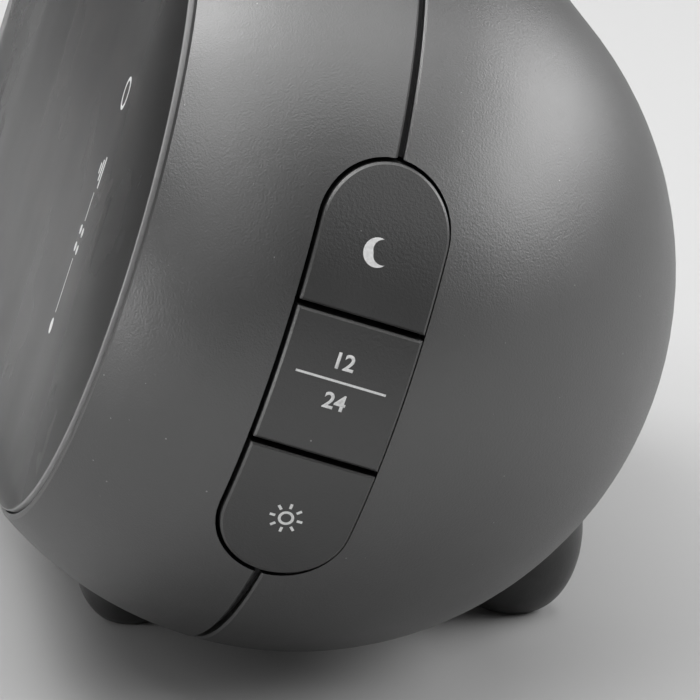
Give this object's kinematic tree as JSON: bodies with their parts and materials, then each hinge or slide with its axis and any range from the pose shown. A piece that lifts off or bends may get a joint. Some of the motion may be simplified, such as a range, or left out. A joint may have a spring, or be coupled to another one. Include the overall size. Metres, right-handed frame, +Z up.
{
  "type": "digital alarm clock",
  "caption": "Barrel-shaped alarm clock leaning back on rubber feet, with a smoked display window, flush keys in both domed ends and a snooze bar on top.",
  "frame": {"origin": "middle of the overall box, on the surface the feet stand on", "axes": "+X to the clock's right, +Y to its back, +Z up; the body leans back 18.1 degrees"},
  "size_m": [0.1856, 0.0751, 0.086],
  "materials": {
    "housing": "satin",
    "keys": "satin",
    "window": "polished",
    "feet": "matte",
    "display": "matte",
    "segments": "satin",
    "boards": "satin",
    "switches": "matte",
    "plungers": "satin",
    "steel": "satin",
    "contacts": "satin",
    "speaker_frame": "satin",
    "paper": "matte",
    "magnet": "matte",
    "cells": "gloss",
    "socket": "satin",
    "print": "matte"
  },
  "bodies": {
    "case": {"front_housing": "housing", "rear_housing": "housing", "speaker_grille": "housing", "battery_hatch": "housing", "display_window": "window", "display_module": "display", "digit_segments": "segments", "display_board": "boards", "main_board": "boards", "snooze_board": "boards", "right_key_board": "boards", "left_key_board": "boards", "speaker_frame": "speaker_frame", "speaker_cone": "paper", "speaker_magnet": "magnet", "hatch_screw": "steel", "housing_screws": "steel", "board_screws": "steel", "backup_cell_1": "cells", "backup_cell_2": "cells", "battery_contacts": "contacts", "dc_jack": "socket", "dc_jack_pin": "contacts", "front_foot_left": "feet", "front_foot_right": "feet", "rear_foot_left": "feet", "rear_foot_right": "feet", "snooze_switch": "switches", "right_switch_upper": "switches", "right_switch_middle": "switches", "right_switch_lower": "switches", "left_switch_upper": "switches", "left_switch_middle": "switches", "left_switch_lower": "switches"},
    "right_upper_key": {"right_key_upper": "keys", "right_plunger_upper": "plungers"},
    "right_middle_key": {"right_key_middle": "keys", "right_plunger_middle": "plungers"},
    "right_lower_key": {"right_key_lower": "keys", "right_plunger_lower": "plungers"},
    "left_upper_key": {"left_key_upper": "keys", "left_plunger_upper": "plungers"},
    "left_middle_key": {"left_key_middle": "keys", "left_plunger_middle": "plungers"},
    "left_lower_key": {"left_key_lower": "keys", "left_plunger_lower": "plungers"},
    "snooze": {"snooze_bar": "keys", "snooze_plunger": "plungers"}
  },
  "joints": [
    {"name": "right_upper_press", "type": "slide", "parent": "case", "child": "right_upper_key", "axis": [-1, 0, 0], "range_m": [0, 0.0006], "stiffness_N_per_m": 400},
    {"name": "right_middle_press", "type": "slide", "parent": "case", "child": "right_middle_key", "axis": [-1, 0, 0], "range_m": [0, 0.0006], "stiffness_N_per_m": 400},
    {"name": "right_lower_press", "type": "slide", "parent": "case", "child": "right_lower_key", "axis": [-1, 0, 0], "range_m": [0, 0.0006], "stiffness_N_per_m": 400},
    {"name": "left_upper_press", "type": "slide", "parent": "case", "child": "left_upper_key", "axis": [1, 0, 0], "range_m": [0, 0.0006], "stiffness_N_per_m": 400},
    {"name": "left_middle_press", "type": "slide", "parent": "case", "child": "left_middle_key", "axis": [1, 0, 0], "range_m": [0, 0.0006], "stiffness_N_per_m": 400},
    {"name": "left_lower_press", "type": "slide", "parent": "case", "child": "left_lower_key", "axis": [1, 0, 0], "range_m": [0, 0.0006], "stiffness_N_per_m": 400},
    {"name": "snooze_press", "type": "slide", "parent": "case", "child": "snooze", "axis": [0, -0.3107, -0.9505], "range_m": [0, 0.0008], "stiffness_N_per_m": 500}
  ]
}
